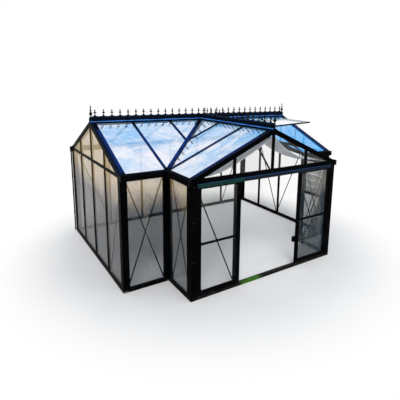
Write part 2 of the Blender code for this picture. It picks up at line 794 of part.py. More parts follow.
def doors():
    """The track and guide between the posts, and the two sliding leaves, stored slid open."""
    back = PANEL_Y - FIT
    out = FRONT - TRACK_PROUD
    plate = TRACK_PLATE
    end = HALF_WING - POST - FIT
    lane = [(-end, 0), (end, 0)]
    head = [
        (out, TRACK_LOW),
        (out + plate, TRACK_LOW),
        (out + plate, BEAM_LOW - FIT - plate),
        (back, BEAM_LOW - FIT - plate),
        (back, BEAM_LOW - FIT),
        (FRONT - FIT, BEAM_LOW - FIT),
        (FRONT - FIT, BEAM_LOW + plate),
        (out + plate, BEAM_LOW + plate),
        (out, BEAM_LOW - FIT),
    ]
    sweep("door_track", head, lane, [(0, 1), (0, 1)], "frame_paint")
    ledge = 0.010
    guide = [
        (FRONT, 0.0),
        (back, 0.0),
        (back, GUIDE_HIGH),
        (FRONT + ledge, GUIDE_HIGH),
        (FRONT, GUIDE_HIGH - ledge),
    ]
    body = sweep("door_guide", guide, lane, [(0, 1), (0, 1)], "frame_paint")
    edge = BAY - JAMB_IN - FIT
    near = (-edge, back - ledge, 0.0)
    far = (edge, PANEL_Y + PANEL_THICK, GUIDE_HIGH - ledge)
    join(body, [box("tread", near, far, "frame_paint")])

    low = GUIDE_HIGH + DOOR_CLEAR
    roof = BEAM_LOW - FIT - plate
    high = roof - DOOR_CLEAR
    face = FRONT + DOOR_CLEAR
    for side, name in ((-1, "left"), (1, "right")):
        lead = BAY - DOOR_LEAD
        ends = sorted((side * lead, side * (HALF_WING - POST - DOOR_END_GAP)))
        leaf = plane((0, face, 0), (0, 0, 1), (0, -1, 0))
        edges = level_edges(ends[0], ends[1], low, high)
        bars = [rail(EAVE * DOOR_BAR_AT)]
        borders = [DOOR_STILE] * 4
        body = glazed(
            "door_" + name, leaf, edges, borders, bars, DOOR_THICK, sheet_slot="door_glass", bar=DOOR_BAR
        )
        middle = face + DOOR_THICK / 2
        runners = []
        for along in (ends[0] + RUNNER_IN, ends[1] - RUNNER_IN):
            for foot, head_z in ((GUIDE_HIGH + FIT, low + 0.004), (high - 0.004, roof - FIT)):
                near = (along - RUNNER_LONG / 2, middle - RUNNER_THICK / 2, foot)
                far = (along + RUNNER_LONG / 2, middle + RUNNER_THICK / 2, head_z)
                runners.append(box("runner", near, far, "frame_paint"))
        join(body, runners)
        seat_y = face + DOOR_THICK + FIT
        step_y = seat_y + DOOR_CLEAR
        seat = side * (lead + 0.004)
        tail = side * (lead + LOCK_SEAT)
        tip = side * (lead - LOCK_PAST)
        deep = seat_y + LOCK_DEEP
        loop = [(seat, seat_y), (tail, seat_y), (tail, deep), (tip, deep), (tip, step_y), (seat, step_y)]
        lock_z = EAVE * (LEFT_LOCK_AT if side < 0 else RIGHT_LOCK_AT)
        at = Matrix.Translation((0, 0, lock_z - LOCK_HIGH / 2))
        slab("door_" + name + "_lock", loop, 0.0, LOCK_HIGH, "lock_plastic", at)


def vent():
    """The vent leaf, hinged along the porch ridge on its right side, and the stay that holds it."""
    reach = PORCH - WALL - FIT - VERGE_RAFTER + VENT_SIDE
    c = math.cos(VENT_TILT)
    s = math.sin(VENT_TILT)
    hinge_x = UPSTAND / 2 + FIT
    hinge_z = APEX + CAP_THICK + 0.003 + VENT_THICK
    leaf = plane((hinge_x, 0, hinge_z), (c, 0, s), (-s, 0, c))
    edges = level_edges(BAR / 2 - VENT_SIDE, reach, 0.0, VENT_LONG - hinge_x)
    borders = [VENT_FRAME] * 4
    glazed("vent", leaf, edges, borders, [], VENT_THICK)
    along = -PORCH / 2
    foot_v = SLOPE - VENT_LONG
    half = STAY_THICK / 2
    foot_z = EAVE + CLIMB * foot_v + half * math.tan(PITCH) + 2 * FIT
    foot = (HALF_WING - RUN * foot_v, along, foot_z)
    top_x = VENT_LONG - VENT_FRAME / 2
    top = (top_x, along, hinge_z + (top_x - hinge_x) * s - VENT_THICK - half / 4)
    rod("vent_stay", foot, top, half, "stay_metal")


def cresting():
    """Cast strips of scallops and fleur spikes on both ridges, and a turned finial at each gable."""
    count = 6 * SPIKES_PER_BAY
    pitch = (2 * HALF_LONG - 2 * FIRST_SPIKE) / (count - 1)
    tall = SPIKE_HIGH
    base = 0.10 * tall
    shoulder = 0.23 * tall
    half = pitch / 2
    stem = 0.050 * tall
    arm = 0.20 * tall
    right = [(half, base)]
    for i in range(1, 6):
        angle = math.pi / 2 * i / 5
        x = half - (half - 2 * stem) * math.sin(angle)
        right.append((x, base + (shoulder - base) * (1 - math.cos(angle))))
    right.extend(
        [
            (stem, shoulder + 0.06 * tall),
            (stem * 0.9, 0.48 * tall),
            (arm * 0.8, 0.50 * tall),
            (arm, 0.56 * tall),
            (arm * 0.8, 0.62 * tall),
            (stem * 0.9, 0.64 * tall),
            (stem * 0.8, 0.70 * tall),
            (stem * 1.8, 0.79 * tall),
        ]
    )

    def strip(spikes, start, stop):
        """The outline above the ridge, with its first and last scallops cut off at the finials."""
        top = []
        for n in range(spikes):
            middle = FIRST_SPIKE + n * pitch
            rise = [(middle - x, z) for x, z in right]
            fall = [(middle + x, z) for x, z in reversed(right)]
            top.extend(rise[1:] if top else rise)
            top.append((middle, tall))
            top.extend(fall)
        loop = [(start, 0.0), *[(min(max(u, start), stop), z) for u, z in top], (stop, 0.0)]
        return loop_of(loop)

    z = RIDGE_TOP + FIT
    ahead = FINIAL_WIDE / 3
    ends = (FINIAL_IN + ahead, 2 * HALF_LONG - FINIAL_IN - ahead)
    matrix = plane((-HALF_LONG, MID_Y - CREST_THICK / 2, z), (0, 0, 1), (0, -1, 0))
    slab("main_cresting", strip(count, *ends), -CREST_THICK, 0.0, "cast_crest", matrix)
    ends = (FRONT_FINIAL_IN + ahead, PORCH + MID_Y - CAP_REACH - 2 * FIT)
    spikes = int((ends[1] - FIRST_SPIKE) / pitch) + 1
    matrix = plane((CREST_THICK / 2, FRONT, z), (0, 0, 1), (1, 0, 0))
    slab("porch_cresting", strip(spikes, *ends), -CREST_THICK, 0.0, "cast_crest", matrix)

    wide = FINIAL_WIDE / 2
    high = FINIAL_HIGH
    profile = [
        (0.50 * wide, 0.0),
        (0.55 * wide, 0.03 * high),
        (0.34 * wide, 0.08 * high),
        (0.38 * wide, 0.12 * high),
        (0.82 * wide, 0.18 * high),
        (wide, 0.26 * high),
        (0.86 * wide, 0.34 * high),
        (0.42 * wide, 0.40 * high),
        (0.30 * wide, 0.45 * high),
        (0.56 * wide, 0.50 * high),
        (0.56 * wide, 0.54 * high),
        (0.32 * wide, 0.59 * high),
        (0.30 * wide, 0.76 * high),
        (0.40 * wide, 0.80 * high),
        (0.28 * wide, 0.85 * high),
        (0.03 * wide, high),
    ]
    turned("left_finial", profile, (-HALF_LONG + FINIAL_IN, MID_Y, z), "cast_crest")
    turned("right_finial", profile, (HALF_LONG - FINIAL_IN, MID_Y, z), "cast_crest")
    turned("front_finial", profile, (0, FRONT + FRONT_FINIAL_IN, z), "cast_crest")


def loop_of(points):
    """The outline with doubled corners left out, wound so that its inside is on the left."""
    kept = []
    for point in points:
        if not kept or math.dist(kept[-1], point) > 1e-6:
            kept.append(point)
    return kept[::-1]


def shade_cloths():
    """Two lengths of cloth that sag from beside the ridge down to the porch eaves."""
    for side, name, hang, long in (
        (-1, "left_shade_cloth", LEFT_HANG, LEFT_CLOTH_LONG),
        (1, "right_shade_cloth", RIGHT_HANG, RIGHT_CLOTH_LONG),
    ):
        top = [(side * across, APEX - across * RISE / HALF_WING - drop) for across, drop in hang]
        under = [(x, z - CLOTH_THICK) for x, z in reversed(top)]
        front = FRONT + WALL + FIT
        path = [(0, front), (0, front + long)]
        sweep(name, [*top, *under], path, [(1, 0), (1, 0)], "shade_fabric")


def main():
    for old in list(bpy.data.objects):
        bpy.data.objects.remove(old)
    walls()
    roof()
    ridge_caps()
    ridge_strut()
    gutters()
    doors()
    vent()
    cresting()
    shade_cloths()


main()
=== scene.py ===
"""The greenhouse's look: finishes, seals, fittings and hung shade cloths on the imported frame."""

import math

import bmesh
import bpy
from mathutils import Matrix, Vector, noise


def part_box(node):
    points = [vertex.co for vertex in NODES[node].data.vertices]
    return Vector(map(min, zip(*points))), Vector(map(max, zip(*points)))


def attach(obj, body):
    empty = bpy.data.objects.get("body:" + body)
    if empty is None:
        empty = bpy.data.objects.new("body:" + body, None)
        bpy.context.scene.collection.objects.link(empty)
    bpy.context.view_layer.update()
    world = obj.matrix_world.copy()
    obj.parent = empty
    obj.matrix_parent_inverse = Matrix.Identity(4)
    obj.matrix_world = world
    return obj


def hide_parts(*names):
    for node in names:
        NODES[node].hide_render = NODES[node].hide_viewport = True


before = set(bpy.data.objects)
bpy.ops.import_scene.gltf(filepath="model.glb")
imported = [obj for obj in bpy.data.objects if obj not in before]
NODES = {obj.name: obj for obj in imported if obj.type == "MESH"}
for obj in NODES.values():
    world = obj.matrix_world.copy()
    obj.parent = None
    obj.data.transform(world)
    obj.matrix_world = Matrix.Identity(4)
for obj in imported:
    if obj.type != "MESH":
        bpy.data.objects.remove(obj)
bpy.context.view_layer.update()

# The house, in metres. X and Z are those of the row frame. ROW_Y turns a depth behind the main
# front wall into the row frame's Y.
BAY = 0.74
EAVE = 1.825
RISE = 0.645
HALF_LONG = 3 * BAY
HALF_WING = 2 * BAY
APEX = EAVE + RISE
FRONT = -BAY
REAR = 4 * BAY
MID = 2 * BAY
WALL = 0.045
ROOF = 0.040
CAP = 0.010
SLOPE = math.hypot(RISE, HALF_WING)
RUN = HALF_WING / SLOPE
CLIMB = RISE / SLOPE
ROW_Y = (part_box("main_ridge")[0][1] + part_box("main_ridge")[1][1]) / 2 - MID
RIDGE_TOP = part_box("main_ridge")[1][2]
GUTTER_OUT = 0.046
GUTTER_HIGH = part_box("rear_gutter")[1][2]
GUTTER_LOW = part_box("rear_gutter")[0][2]
PIPE = 0.0135
VENT_TILT = math.radians(2.5)
FIRST_SPIKE = 0.100
SPIKES = 30
SPIKE_HIGH = 0.135
FIT = 0.0003
DOOR_BAR_AT = 0.466
BLADES = 5
LOUVRE_RIM = 0.018
# Bolts: heights of the rows at the sill and the head, and distances in from a corner.
SILL_BOLT = 0.033
HEAD_BOLT = 1.745
CORNER_IN = 0.05
INNER_IN = 0.034
# The cloths' hem, the half thickness of hem and cloth, and the wire of their hooks.
HEM_WIDE = 0.022
HEM_HALF = 0.0018
CLOTH_HALF = 0.0009
HOOK_WIRE = 0.0011
# A line of sight can cross six panes, with two faces each, and the seals round them.
PANES_DEEP = 32

# The photograph's camera, in the row frame.
CAMERA_AT = (-3.87, -5.04 + ROW_Y, 3.085)
CAMERA_YAW = 0.603
CAMERA_PITCH = 0.191
CAMERA_ROLL = 0.019
LENS_MM = 33.345
SHIFT = (-0.0648, -0.1028)


def at(x, y, z):
    """A point of the building's own frame, in the row frame."""
    return Vector((x, y + ROW_Y, z))


def add_camera():
    data = bpy.data.cameras.new("camera")
    data.sensor_width = 36.0
    data.lens = LENS_MM
    data.shift_x, data.shift_y = SHIFT
    cp = math.cos(CAMERA_PITCH)
    look = Vector((math.sin(CAMERA_YAW) * cp, math.cos(CAMERA_YAW) * cp, -math.sin(CAMERA_PITCH)))
    right = Vector((math.cos(CAMERA_YAW), -math.sin(CAMERA_YAW), 0.0))
    up = right.cross(look)
    cr = math.cos(CAMERA_ROLL)
    sr = math.sin(CAMERA_ROLL)
    right, up = cr * right + sr * up, -sr * right + cr * up
    matrix = Matrix((right, up, -look)).transposed().to_4x4()
    matrix.translation = CAMERA_AT
    camera = bpy.data.objects.new("camera", data)
    camera.matrix_world = matrix
    bpy.context.collection.objects.link(camera)
    bpy.context.scene.camera = camera


# Finishes


def linear(red, green, blue):
    """An sRGB colour of 0 to 255, as the shader's linear values."""
    out = []
    for value in (red, green, blue):
        c = value / 255
        out.append(c / 12.92 if c <= 0.04045 else ((c + 0.055) / 1.055) ** 2.4)
    return (*out, 1.0)


class Look:
    """A procedural material under construction."""

    def __init__(self, name, rough, metal=0.0, level=0.5):
        self.material = bpy.data.materials.new(name)
        self.material.use_nodes = True
        self.tree = self.material.node_tree
        self.shader = self.tree.nodes["Principled BSDF"]
        self.put("Roughness", rough)
        self.put("Metallic", metal)
        self.put("Specular IOR Level", level)
        self.place = self.node("ShaderNodeTexCoord").outputs["Object"]

    def node(self, kind, **settings):
        made = self.tree.nodes.new(kind)
        for key, value in settings.items():
            setattr(made, key, value)
        return made

    def put(self, socket, value):
        """Sets a socket of the shader, or links a texture to it."""
        if isinstance(value, bpy.types.NodeSocket):
            self.tree.links.new(value, self.shader.inputs[socket])
        else:
            self.shader.inputs[socket].default_value = value

    def feed(self, target, value):
        if isinstance(value, bpy.types.NodeSocket):
            self.tree.links.new(value, target)
        else:
            target.default_value = value

    def noise(self, scale, detail=3.0, rough=0.5, stretch=(1, 1, 1), warp=0.0):
        mapping = self.node("ShaderNodeMapping")
        mapping.inputs["Scale"].default_value = stretch
        self.feed(mapping.inputs["Vector"], self.place)
        made = self.node("ShaderNodeTexNoise")
        self.feed(made.inputs["Vector"], mapping.outputs[0])
        made.inputs["Scale"].default_value = scale
        made.inputs["Detail"].default_value = detail
        made.inputs["Roughness"].default_value = rough
        made.inputs["Distortion"].default_value = warp
        return made.outputs["Fac"]

    def span(self, value, low, high, start=0.0, end=1.0):
        """Carries a value from low..high to start..end, smoothly and clamped."""
        made = self.node("ShaderNodeMapRange", interpolation_type="SMOOTHSTEP")
        self.feed(made.inputs["Value"], value)
        made.inputs["From Min"].default_value = low
        made.inputs["From Max"].default_value = high
        made.inputs["To Min"].default_value = start
        made.inputs["To Max"].default_value = end
        return made.outputs["Result"]

    def mix(self, share, first, second):
        made = self.node("ShaderNodeMix", data_type="RGBA")
        self.feed(made.inputs[0], share)
        self.feed(made.inputs[6], first)
        self.feed(made.inputs[7], second)
        return made.outputs[2]

    def sum(self, operation, first, second):
        made = self.node("ShaderNodeMath", operation=operation)
        self.feed(made.inputs[0], first)
        self.feed(made.inputs[1], second)
        return made.outputs[0]

    def axis(self, letter, source=None):
        made = self.node("ShaderNodeSeparateXYZ")
        self.feed(made.inputs[0], source or self.place)
        return made.outputs[letter]

    def normal(self):
        """The way that a face looks."""
        return self.node("ShaderNodeNewGeometry").outputs["True Normal"]

    def facing_up(self, low, high):
        """1 on faces that look at the sky, 0 on upright ones."""
        return self.span(self.axis("Z", self.normal()), low, high)

    def outer(self, inside):
        """1 on the faces that look away from the middle of the house, and inside on the others."""
        normal = self.normal()
        away = self.node("ShaderNodeVectorMath", operation="SUBTRACT")
        self.feed(away.inputs[0], self.place)
        away.inputs[1].default_value = at(0, MID, 1.0)
        dot = self.node("ShaderNodeVectorMath", operation="DOT_PRODUCT")
        self.feed(dot.inputs[0], normal)
        self.feed(dot.inputs[1], away.outputs[0])
        return self.span(dot.outputs["Value"], -0.02, 0.02, inside, 1.0)

    def edge_on(self, blend):
        made = self.node("ShaderNodeLayerWeight")
        made.inputs["Blend"].default_value = blend
        return made.outputs["Fresnel"]

    def bump(self, height, strength, distance):
        made = self.node("ShaderNodeBump")
        made.inputs["Strength"].default_value = strength
        made.inputs["Distance"].default_value = distance
        self.feed(made.inputs["Height"], height)
        self.put("Normal", made.outputs[0])


def painted(name, body, sky, low=0.55, high=0.85, level=0.006, reflection_heights=None):
    """Powder-coated metal: near black on its sides, with a painted sky reflection that makes faces looking
    up bluer, and dusty at the ground.
    """
    look = Look(name, 0.4, level=level)
    mottle = look.span(look.noise(3.5, 4.0), 0.35, 0.7)
    side = look.mix(mottle, linear(*body), linear(*(value + 5 for value in body)))
    # The painted sky reflection: faces that look up take the sky colour.
    top = look.mix(mottle, linear(*sky), linear(*(min(255, value * 1.3) for value in sky)))
    up = look.facing_up(low, high)
    # The painted sky reflection fades in above the two given heights, which keeps it off the eave rail, and
    # fades out near the apex.
    if reflection_heights:
        up = look.sum("MULTIPLY", up, look.span(look.axis("Z"), *reflection_heights))
        up = look.sum("MULTIPLY", up, look.span(look.axis("Z"), APEX - 0.125, APEX - 0.100, 1.0, 0.0))
    colour = look.mix(up, side, top)
    ground = look.span(look.axis("Z"), 0.0, 0.11, 1.0, 0.0)
    dust = look.sum("MULTIPLY", ground, look.span(look.noise(14.0, 5.0, 0.65), 0.46, 0.72, 0.0, 0.5))
    look.colour = look.mix(dust, colour, linear(70, 62, 48))
    look.put("Base Color", look.colour)
    look.put("Roughness", look.span(look.noise(26.0, 3.0), 0.3, 0.7, 0.30, 0.46))
    look.bump(look.noise(620.0, 2.0), 0.12, 0.0006)
    return look


def rail_with_green_reflection(name, body, sky, low, high, reflected_green, strength):
    """A powder-coated rail with a painted green reflection of the grass along one stretch of its length,
    from low to high on X.
    """
    look = painted(name, body, sky, level=0.05)
    # Where the painted green reflection of the grass lies: from low to high on X, in patches.
    rise = look.span(look.axis("X"), low - 0.05, low + 0.03)
    fall = look.span(look.axis("X"), high - 0.10, high + 0.05, 1.0, 0.0)
    patch = look.span(look.noise(11.0, 4.0, 0.6, (0.5, 1.0, 1.0)), 0.34, 0.62, 0.25, 1.0)
    share = look.sum("MULTIPLY", look.sum("MULTIPLY", rise, fall), look.sum("MULTIPLY", patch, strength))
    look.put("Base Color", look.mix(share, look.colour, linear(*reflected_green)))
    return look


# The size of the clouds in the painted sky reflection on the roof glass.
REFLECTED_CLOUD_SCALE = 1.5


def sheet_glass(name, reflected_blue, reflected_cloud, veil, thick, share=(0.42, 0.66), drift_down=0.0):
    """Glass whose colour is a painted reflection of blue sky with pale clouds; veil and thick are how much
    each hides.
    """
    look = Look(name, 0.06, level=1.0)
    look.put("Metallic", 0.7)
    drift = look.noise(REFLECTED_CLOUD_SCALE, 6.0, 0.58, (1.0, 1.6, 1.3), 0.7)
    fleck = look.noise(REFLECTED_CLOUD_SCALE * 5.0, 5.0, 0.62, (1.0, 1.8, 1.2), 0.4)
    both = look.sum("ADD", look.sum("MULTIPLY", drift, 0.74), look.sum("MULTIPLY", fleck, 0.26))
    # The painted clouds shift with height: more of them low on the slope where drift_down is positive, fewer
    # where it is negative.
    low = look.span(look.axis("Z"), EAVE, APEX, drift_down, -drift_down * 0.3)
    patch = look.span(look.sum("ADD", both, low), *share)
    rose = look.span(look.noise(REFLECTED_CLOUD_SCALE * 2.2, 3.0), 0.45, 0.68)
    pale = look.mix(rose, linear(*reflected_cloud), linear(min(255, reflected_cloud[0] + 12), reflected_cloud[1], reflected_cloud[2]))
    look.put("Base Color", look.mix(patch, linear(*reflected_blue), pale))
    body = look.span(patch, 0.0, 1.0, veil, thick)
    body = look.sum("MAXIMUM", body, look.sum("MULTIPLY", look.edge_on(0.35), thick))
    look.put("Alpha", look.sum("MULTIPLY", body, look.outer(0.05)))
    look.put("Roughness", look.span(look.noise(40.0, 2.0), 0.3, 0.7, 0.015, 0.045))
    return look


def wall_glass(name, foot, middle, top, low_reflection, high_reflection):
    """Clear float glass with rain marks, over a painted reflection of the surroundings: it hides most at the
    middle height, and is warmer above.
    """
    look = Look(name, 0.05, level=0.12)
    marks = look.span(look.noise(9.0, 5.0, 0.6, (1.0, 1.0, 0.22)), 0.48, 0.74)
    wave = look.sum("MULTIPLY", look.noise(1.7, 4.0, 0.6), 0.5)
    high = look.span(look.sum("ADD", look.axis("Z"), wave), 1.45, 2.0)
    # The painted reflection's colour: dark low down, warm higher up.
    cast = look.mix(high, linear(*low_reflection), linear(*high_reflection))
    look.put("Base Color", look.mix(look.sum("MULTIPLY", marks, 0.3), cast, linear(180, 170, 150)))
    rise = look.span(look.sum("ADD", look.axis("Z"), wave), 0.35, 0.95, foot, middle)
    reflected_share = look.sum("MULTIPLY", look.span(high, 0.0, 1.0, 1.0, top / middle), rise)
    veil = look.sum("ADD", reflected_share, look.sum("MULTIPLY", marks, middle * 0.12))
    veil = look.sum("MAXIMUM", veil, look.sum("MULTIPLY", look.edge_on(0.22), 0.6))
    look.put("Alpha", look.sum("MULTIPLY", veil, look.outer(0.15)))
    look.put("Roughness", look.span(marks, 0.0, 1.0, 0.02, 0.12))
    return look


def slatted(name):
    """The louvre's finish: black metal, with glass where a face leans as the blades do."""
    look = painted(name, (4, 5, 7), (8, 12, 20))
    tilt = look.sum("ABSOLUTE", look.axis("Z", look.normal()), 0.0)
    blade = look.sum("MULTIPLY", look.span(tilt, 0.35, 0.5), look.span(tilt, 0.68, 0.78, 1.0, 0.0))
    haze = look.span(look.noise(6.0, 4.0), 0.35, 0.7)
    pane = look.mix(haze, linear(96, 112, 122), linear(168, 172, 160))
    look.put("Base Color", look.mix(blade, look.colour, pane))
    look.put("Alpha", look.sum("SUBTRACT", 1.0, look.sum("MULTIPLY", blade, 0.62)))
    look.put("Roughness", look.span(blade, 0.0, 1.0, 0.42, 0.06))
    return look


def metal(name, colour, rough, grain):
    """Bare or plated metal with a mottled surface."""
    look = Look(name, rough, 0.85)
    tone = look.span(look.noise(grain, 4.0, 0.6), 0.3, 0.7)
    look.put("Base Color", look.mix(tone, linear(*colour), linear(*(value * 0.72 for value in colour))))
    look.put("Roughness", look.span(look.noise(grain * 2.0, 3.0), 0.3, 0.7, rough - 0.08, rough + 0.12))
    look.bump(look.noise(grain * 6.0, 2.0), 0.1, 0.0004)
    return look


def moulded(name, colour, rough, grain):
    """Rubber or plastic with a fine matt grain."""
    look = Look(name, rough, level=0.03)
    tone = look.span(look.noise(grain, 3.0), 0.3, 0.7)
    look.put("Base Color", look.mix(tone, linear(*colour), linear(*(value + 8 for value in colour))))
    look.bump(look.noise(grain * 8.0, 2.0), 0.25, 0.0005)
    return look


def cast_iron():
    """The cresting's paint, laid over a sand-cast skin."""
    look = Look("cast_paint", 0.5, level=0.08)
    tone = look.span(look.noise(30.0, 4.0), 0.35, 0.7)
    look.put("Base Color", look.mix(tone, linear(5, 6, 9), linear(14, 18, 26)))
    look.put("Roughness", look.span(tone, 0.0, 1.0, 0.40, 0.60))
    look.bump(look.noise(240.0, 4.0, 0.7), 0.35, 0.0012)
    return look


def woven():
    """Shade cloth: an open plain weave, slightly see-through."""
    look = Look("shade_weave", 0.92, level=0.08)
    warp = look.node("ShaderNodeTexWave", bands_direction="Y")
    weft = look.node("ShaderNodeTexWave", bands_direction="X")
    for thread in (warp, weft):
        look.feed(thread.inputs["Vector"], look.place)
        thread.inputs["Scale"].default_value = 110.0
        thread.inputs["Distortion"].default_value = 0.6
    weave = look.sum("MAXIMUM", warp.outputs["Fac"], weft.outputs["Fac"])
    tone = look.span(look.noise(3.1, 5.0, 0.6), 0.3, 0.7)
    base = look.mix(tone, linear(208, 211, 218), linear(230, 232, 236))
    look.put("Base Color", look.mix(look.span(weave, 0.1, 0.9), linear(154, 158, 166), base))
    look.put("Alpha", look.span(weave, 0.0, 0.5, 0.86, 0.97))
    look.put("Sheen Weight", 0.15)
    look.bump(weave, 0.3, 0.0008)
    return look


# Each paint's second colour is a painted sky reflection on the faces that look up: near white on the vent,
# bright blue on the ridge flanges. The green on the track and the guide is a painted reflection of the
# grass.
FRAME_PAINT = painted("frame_coat", (3, 3, 4), (12, 20, 38)).material
ROOF_PAINT = painted("roof_coat", (4, 7, 18), (14, 40, 96), reflection_heights=(1.846, 1.872)).material
RIDGE_PAINT = painted("ridge_coat", (10, 17, 27), (60, 118, 196), low=0.3).material
TRACK_PAINT = rail_with_green_reflection("track_coat", (15, 26, 38), (34, 74, 126), -1.36, -0.55, (18, 74, 50), 0.50).material
GUIDE_PAINT = rail_with_green_reflection("guide_coat", (6, 7, 8), (10, 14, 20), -0.56, -0.16, (58, 104, 30), 0.95).material
VENT_PAINT = painted("vent_coat", (4, 12, 28), (206, 224, 240), low=0.35, high=0.6).material
GUTTER_PAINT = painted("gutter_coat", (4, 5, 6), (8, 14, 26)).material
LOUVRE_PAINT = slatted("louvre_coat").material
# The roof panes' colours are a painted reflection of the sky: blue with pale clouds, brighter cyan on the
# front right roof, near white on the vent.
ROOF_GLASS = sheet_glass(
    "roof_pane", (96, 184, 245), (236, 240, 250), 0.50, 0.70,
    share=(0.34, 0.72), drift_down=0.12,
).material
BRIGHT_GLASS = sheet_glass(
    "right_roof_pane", (0, 172, 248), (226, 240, 252), 0.56, 0.66,
    share=(0.42, 0.84), drift_down=-0.22,
).material
VENT_GLASS = sheet_glass("vent_pane", (246, 252, 255), (254, 255, 255), 0.82, 0.92).material
# The wall panes' colours are a painted reflection of the surroundings, dark low down and warm above; it is
# strongest on the left wall and faintest on the clear panes.
WALL_GLASS = wall_glass("wall_pane", 0.40, 0.58, 0.38, (26, 38, 48), (192, 160, 104)).material
LEFT_GLASS = wall_glass("left_pane", 0.52, 0.66, 0.42, (12, 18, 26), (192, 160, 104)).material
SIDE_GLASS = wall_glass("right_pane", 0.22, 0.28, 0.12, (40, 46, 46), (150, 154, 140)).material
CLEAR_GLASS = wall_glass("door_pane", 0.07, 0.12, 0.07, (44, 56, 64), (142, 142, 134)).material
CAST = cast_iron().material
RUBBER = moulded("glazing_rubber", (5, 5, 6), 0.6, 60.0).material
PALE_SEAL = moulded("pale_seal", (206, 216, 224), 0.5, 50.0).material
PLASTIC = moulded("lock_moulding", (5, 5, 6), 0.45, 120.0).material
STEEL = metal("zinc_plate", (168, 176, 184), 0.36, 45.0).material
BOLT = metal("bolt_zinc", (92, 98, 104), 0.38, 90.0).material
DARK_STEEL = metal("stay_steel", (26, 30, 38), 0.38, 60.0).material
WEAVE = woven().material


def dress(node, material):
    for one in NODES[node].material_slots:
        one.material = material


OWN_FINISH = {
    "vent_glass": VENT_GLASS,
    "front_right_roof_glass": BRIGHT_GLASS,
    "left_wall_glass": LEFT_GLASS,
    "front_right_wall_glass": SIDE_GLASS,
    "porch_right_wall_glass": SIDE_GLASS,
    "vent": VENT_PAINT,
    "vent_stay": DARK_STEEL,
    "door_track": TRACK_PAINT,
    "door_guide": GUIDE_PAINT,
    "louvre": LOUVRE_PAINT,
    "downpipe": GUTTER_PAINT,
}
CLEAR_PANES = {
    "door_left_glass",
    "door_right_glass",
    "front_gable_glass",
    "front_left_panel_glass",
    "front_right_panel_glass",
    "rear_wall_glass",
    "right_wall_glass",
}
# Finishes by the end of a node's name. The first that fits counts.
FINISHES = (
    ("_roof_glass", ROOF_GLASS),
    ("_glass", WALL_GLASS),
    ("_cresting", CAST),
    ("_finial", CAST),
    ("_lock", PLASTIC),
    ("_ridge", RIDGE_PAINT),
    ("_roof", ROOF_PAINT),
    ("_valley", ROOF_PAINT),
    ("_gutter", GUTTER_PAINT),
)


def finish_of(node):
    """The material that a CAD node shows."""
    if node in OWN_FINISH:
        return OWN_FINISH[node]
    if node in CLEAR_PANES:
        return CLEAR_GLASS
    for ending, material in FINISHES:
        if node.endswith(ending):
            return material
    return FRAME_PAINT


def dress_nodes():
    for node in NODES:
        if not node.endswith("_cloth"):
            dress(node, finish_of(node))


# Pieces


def piece(name, points, faces, material, body="house", smooth=False):
    """A new mesh in the row frame that rides on a body."""
    mesh = bpy.data.meshes.new(name)
    mesh.from_pydata([tuple(p) for p in points], [], faces)
    mesh.validate()
    if smooth:
        mesh.shade_smooth()
    mesh.materials.append(material)
    made = bpy.data.objects.new(name, mesh)
    bpy.context.collection.objects.link(made)
    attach(made, body)
    return made


class Parts:
    """Many small closed forms gathered into one mesh."""

    def __init__(self):
        self.points = []
        self.faces = []

    def rings(self, rings, closed=False):
        """A tube through rings of points, capped at both ends unless it is closed on itself."""
        start = len(self.points)
        count = len(rings[0])
        for ring in rings:
            self.points.extend(ring)
        last = len(rings) if closed else len(rings) - 1
        for r in range(last):
            a = start + r * count
            b = start + (r + 1) % len(rings) * count
            for i in range(count):
                j = (i + 1) % count
                self.faces.append((a + i, a + j, b + j, b + i))
        if not closed:
            self.faces.append(tuple(range(start + count - 1, start - 1, -1)))
            top = start + last * count
            self.faces.append(tuple(range(top, top + count)))

    def turned(self, origin, axis, profile, sides=10):
        """A turned form: (radius, height) pairs about an axis."""
        axis = Vector(axis).normalized()
        across = axis.orthogonal().normalized()
        beside = axis.cross(across)
        rings = []
        for radius, height in profile:
            ring = []
            for i in range(sides):
                angle = 2 * math.pi * i / sides
                side = across * math.cos(angle) + beside * math.sin(angle)
                ring.append(Vector(origin) + axis * height + side * radius)
            rings.append(ring)
        self.rings(rings)

    def block(self, low, high, soft=0.0008):
        """A small block with eased edges."""
        x0, y0, z0 = low
        x1, y1, z1 = high

        def ring(inset, z):
            return [
                Vector((x0 + inset, y0 + inset, z)),
                Vector((x1 - inset, y0 + inset, z)),
                Vector((x1 - inset, y1 - inset, z)),
                Vector((x0 + inset, y1 - inset, z)),
            ]

        self.rings([ring(soft, z0), ring(0, z0 + soft), ring(0, z1 - soft), ring(soft, z1)])

    def finish(self, name, material, body="house", smooth=False):
        """Makes one piece of the forms gathered so far."""
        piece(name, self.points, self.faces, material, body, smooth)


STUD = [(0.0060, 0.0), (0.0060, 0.0016), (0.0048, 0.0030), (0.0022, 0.0037)]


